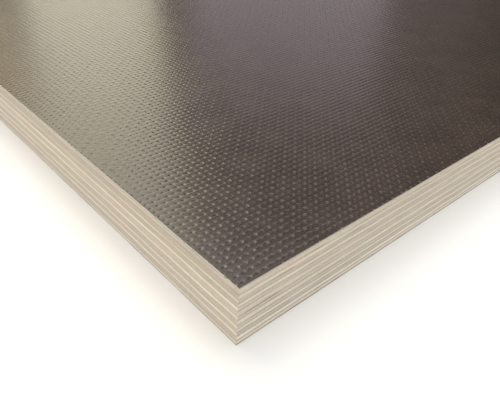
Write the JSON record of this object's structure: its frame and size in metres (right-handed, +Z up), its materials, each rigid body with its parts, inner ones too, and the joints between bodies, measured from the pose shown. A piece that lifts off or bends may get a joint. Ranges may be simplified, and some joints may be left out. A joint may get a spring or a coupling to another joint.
{
  "type": "film-faced plywood sheet",
  "caption": "Film-faced birch plywood sheet with raw sawn edges that show its cross-laid veneers, a dark brown wire-mesh film on top and a smooth film underneath.",
  "frame": {"origin": "middle of the underside, on the surface that the sheet lies on", "axes": "+X along the sheet and the grain of its face veneers, +Y across it, +Z up through the mesh film"},
  "size_m": [2.5, 1.25, 0.018],
  "materials": {
    "mesh_film": "satin phenolic film with a wire-mesh imprint",
    "long_grain_veneer": "raw sawn birch, grain along the sheet",
    "cross_grain_veneer": "raw sawn birch, grain across the sheet",
    "smooth_film": "satin smooth phenolic film"
  },
  "bodies": {
    "root": {"mesh_film": "mesh_film", "ply_01": "long_grain_veneer", "ply_02": "cross_grain_veneer", "ply_03": "long_grain_veneer", "ply_04": "cross_grain_veneer", "ply_05": "long_grain_veneer", "ply_06": "cross_grain_veneer", "ply_07": "long_grain_veneer", "ply_08": "cross_grain_veneer", "ply_09": "long_grain_veneer", "ply_10": "cross_grain_veneer", "ply_11": "long_grain_veneer", "ply_12": "cross_grain_veneer", "ply_13": "long_grain_veneer", "smooth_film": "smooth_film"}
  },
  "joints": []
}
